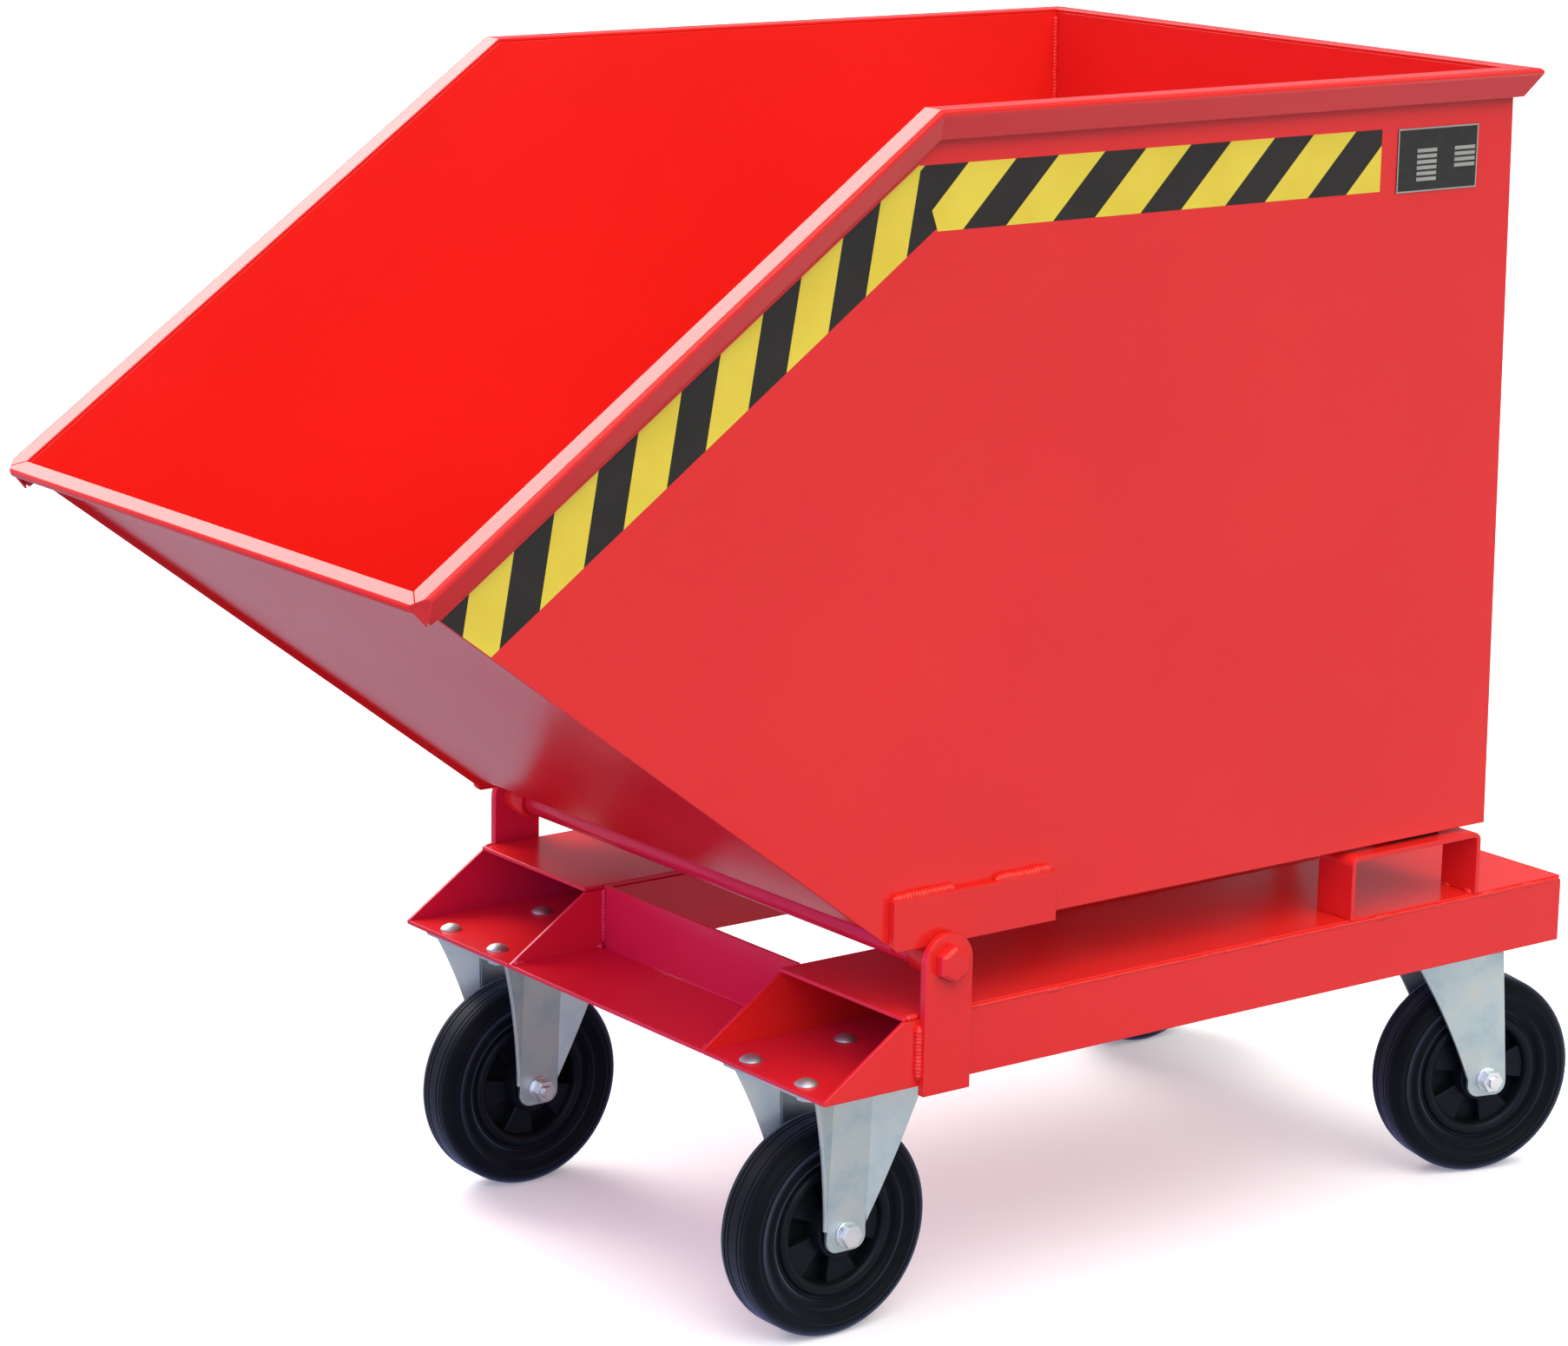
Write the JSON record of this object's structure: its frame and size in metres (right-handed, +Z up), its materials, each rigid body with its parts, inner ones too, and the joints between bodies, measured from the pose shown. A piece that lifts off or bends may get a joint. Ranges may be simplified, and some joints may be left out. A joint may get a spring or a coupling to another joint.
{
  "type": "tipping hopper",
  "caption": "Wheeled tipping hopper: sheet-steel bin with a sloping pouring lip, hinged at the front on a chassis with fork pockets, fixed front and swivel rear casters, rear latch.",
  "frame": {"origin": "middle of the bounding box on the floor", "axes": "+X to the rear, away from the pouring lip; +Y to the right; +Z up"},
  "size_m": [1.3844, 0.7, 1.094],
  "materials": {
    "red_paint": "gloss",
    "zinc": "blue passivated zinc",
    "tyre_rubber": "matt",
    "wheel_plastic": "satin",
    "pad_rubber": "matt",
    "bearing_steel": "ground",
    "plate_black": "satin",
    "grip_plastic": "satin"
  },
  "bodies": {
    "chassis": {"pocket_floors": "red_paint", "pocket_cheeks": "red_paint", "pocket_top_left": "red_paint", "pocket_top_right": "red_paint", "cross_member_front": "red_paint", "cross_member_rear": "red_paint", "ear_left": "red_paint", "ear_right": "red_paint", "pivot_shaft": "red_paint", "pivot_nuts": "red_paint", "bridge_left": "red_paint", "bridge_right": "red_paint", "rest_pads": "pad_rubber", "latch_bracket": "red_paint", "latch_pin": "zinc", "caster_bolts": "zinc", "caster_nuts": "zinc", "fixed_bracket_left": "zinc", "fixed_bracket_right": "zinc", "front_axle_bolts": "zinc", "front_axle_nuts": "zinc", "front_axle_sleeves": "bearing_steel", "swivel_plate_left": "zinc", "swivel_plate_right": "zinc", "swivel_kingpins": "zinc"},
    "hopper": {"hopper_wrapper": "red_paint", "hopper_side_left": "red_paint", "hopper_side_right": "red_paint", "rim_left": "red_paint", "rim_right": "red_paint", "rim_rear": "red_paint", "rim_lip": "red_paint", "pivot_bar_left": "red_paint", "pivot_bar_right": "red_paint", "pivot_knuckles": "red_paint", "latch_keeper": "red_paint", "rating_plate": "plate_black"},
    "latch": {"latch_lever": "red_paint", "latch_grip": "grip_plastic"},
    "swivel_left": {"swivel_fork_left": "zinc", "rear_axle_bolt_left": "zinc", "rear_axle_nut_left": "zinc", "rear_axle_sleeve_left": "bearing_steel"},
    "swivel_right": {"swivel_fork_right": "zinc", "rear_axle_bolt_right": "zinc", "rear_axle_nut_right": "zinc", "rear_axle_sleeve_right": "bearing_steel"},
    "wheel_front_left": {"tyre_front_left": "tyre_rubber", "wheel_rim_front_left": "wheel_plastic", "wheel_bearing_front_left": "bearing_steel"},
    "wheel_front_right": {"tyre_front_right": "tyre_rubber", "wheel_rim_front_right": "wheel_plastic", "wheel_bearing_front_right": "bearing_steel"},
    "wheel_rear_left": {"tyre_rear_left": "tyre_rubber", "wheel_rim_rear_left": "wheel_plastic", "wheel_bearing_rear_left": "bearing_steel"},
    "wheel_rear_right": {"tyre_rear_right": "tyre_rubber", "wheel_rim_rear_right": "wheel_plastic", "wheel_bearing_rear_right": "bearing_steel"}
  },
  "joints": [
    {"name": "hopper_tip", "type": "hinge", "parent": "chassis", "child": "hopper", "pos_m": [-0.14582, 0, 0.356], "axis": [0, -1, 0], "range_deg": [0, 60]},
    {"name": "latch_swing", "type": "hinge", "parent": "chassis", "child": "latch", "pos_m": [0.56018, 0, 0.339], "axis": [0, -1, 0], "range_deg": [0, 20]},
    {"name": "swivel_left", "type": "hinge", "parent": "chassis", "child": "swivel_left", "pos_m": [0.53818, -0.241, 0], "axis": [0, 0, 1], "continuous": true},
    {"name": "swivel_right", "type": "hinge", "parent": "chassis", "child": "swivel_right", "pos_m": [0.53818, 0.241, 0], "axis": [0, 0, 1], "continuous": true},
    {"name": "wheel_front_left_spin", "type": "hinge", "parent": "chassis", "child": "wheel_front_left", "pos_m": [-0.20282, -0.241, 0.1], "axis": [0, 1, 0], "continuous": true},
    {"name": "wheel_front_right_spin", "type": "hinge", "parent": "chassis", "child": "wheel_front_right", "pos_m": [-0.20282, 0.241, 0.1], "axis": [0, 1, 0], "continuous": true},
    {"name": "wheel_rear_left_spin", "type": "hinge", "parent": "swivel_left", "child": "wheel_rear_left", "pos_m": [0.59034, -0.25498, 0.1], "axis": [0.2588, 0.9659, 0], "continuous": true},
    {"name": "wheel_rear_right_spin", "type": "hinge", "parent": "swivel_right", "child": "wheel_rear_right", "pos_m": [0.59218, 0.241, 0.1], "axis": [0, 1, 0], "continuous": true}
  ]
}
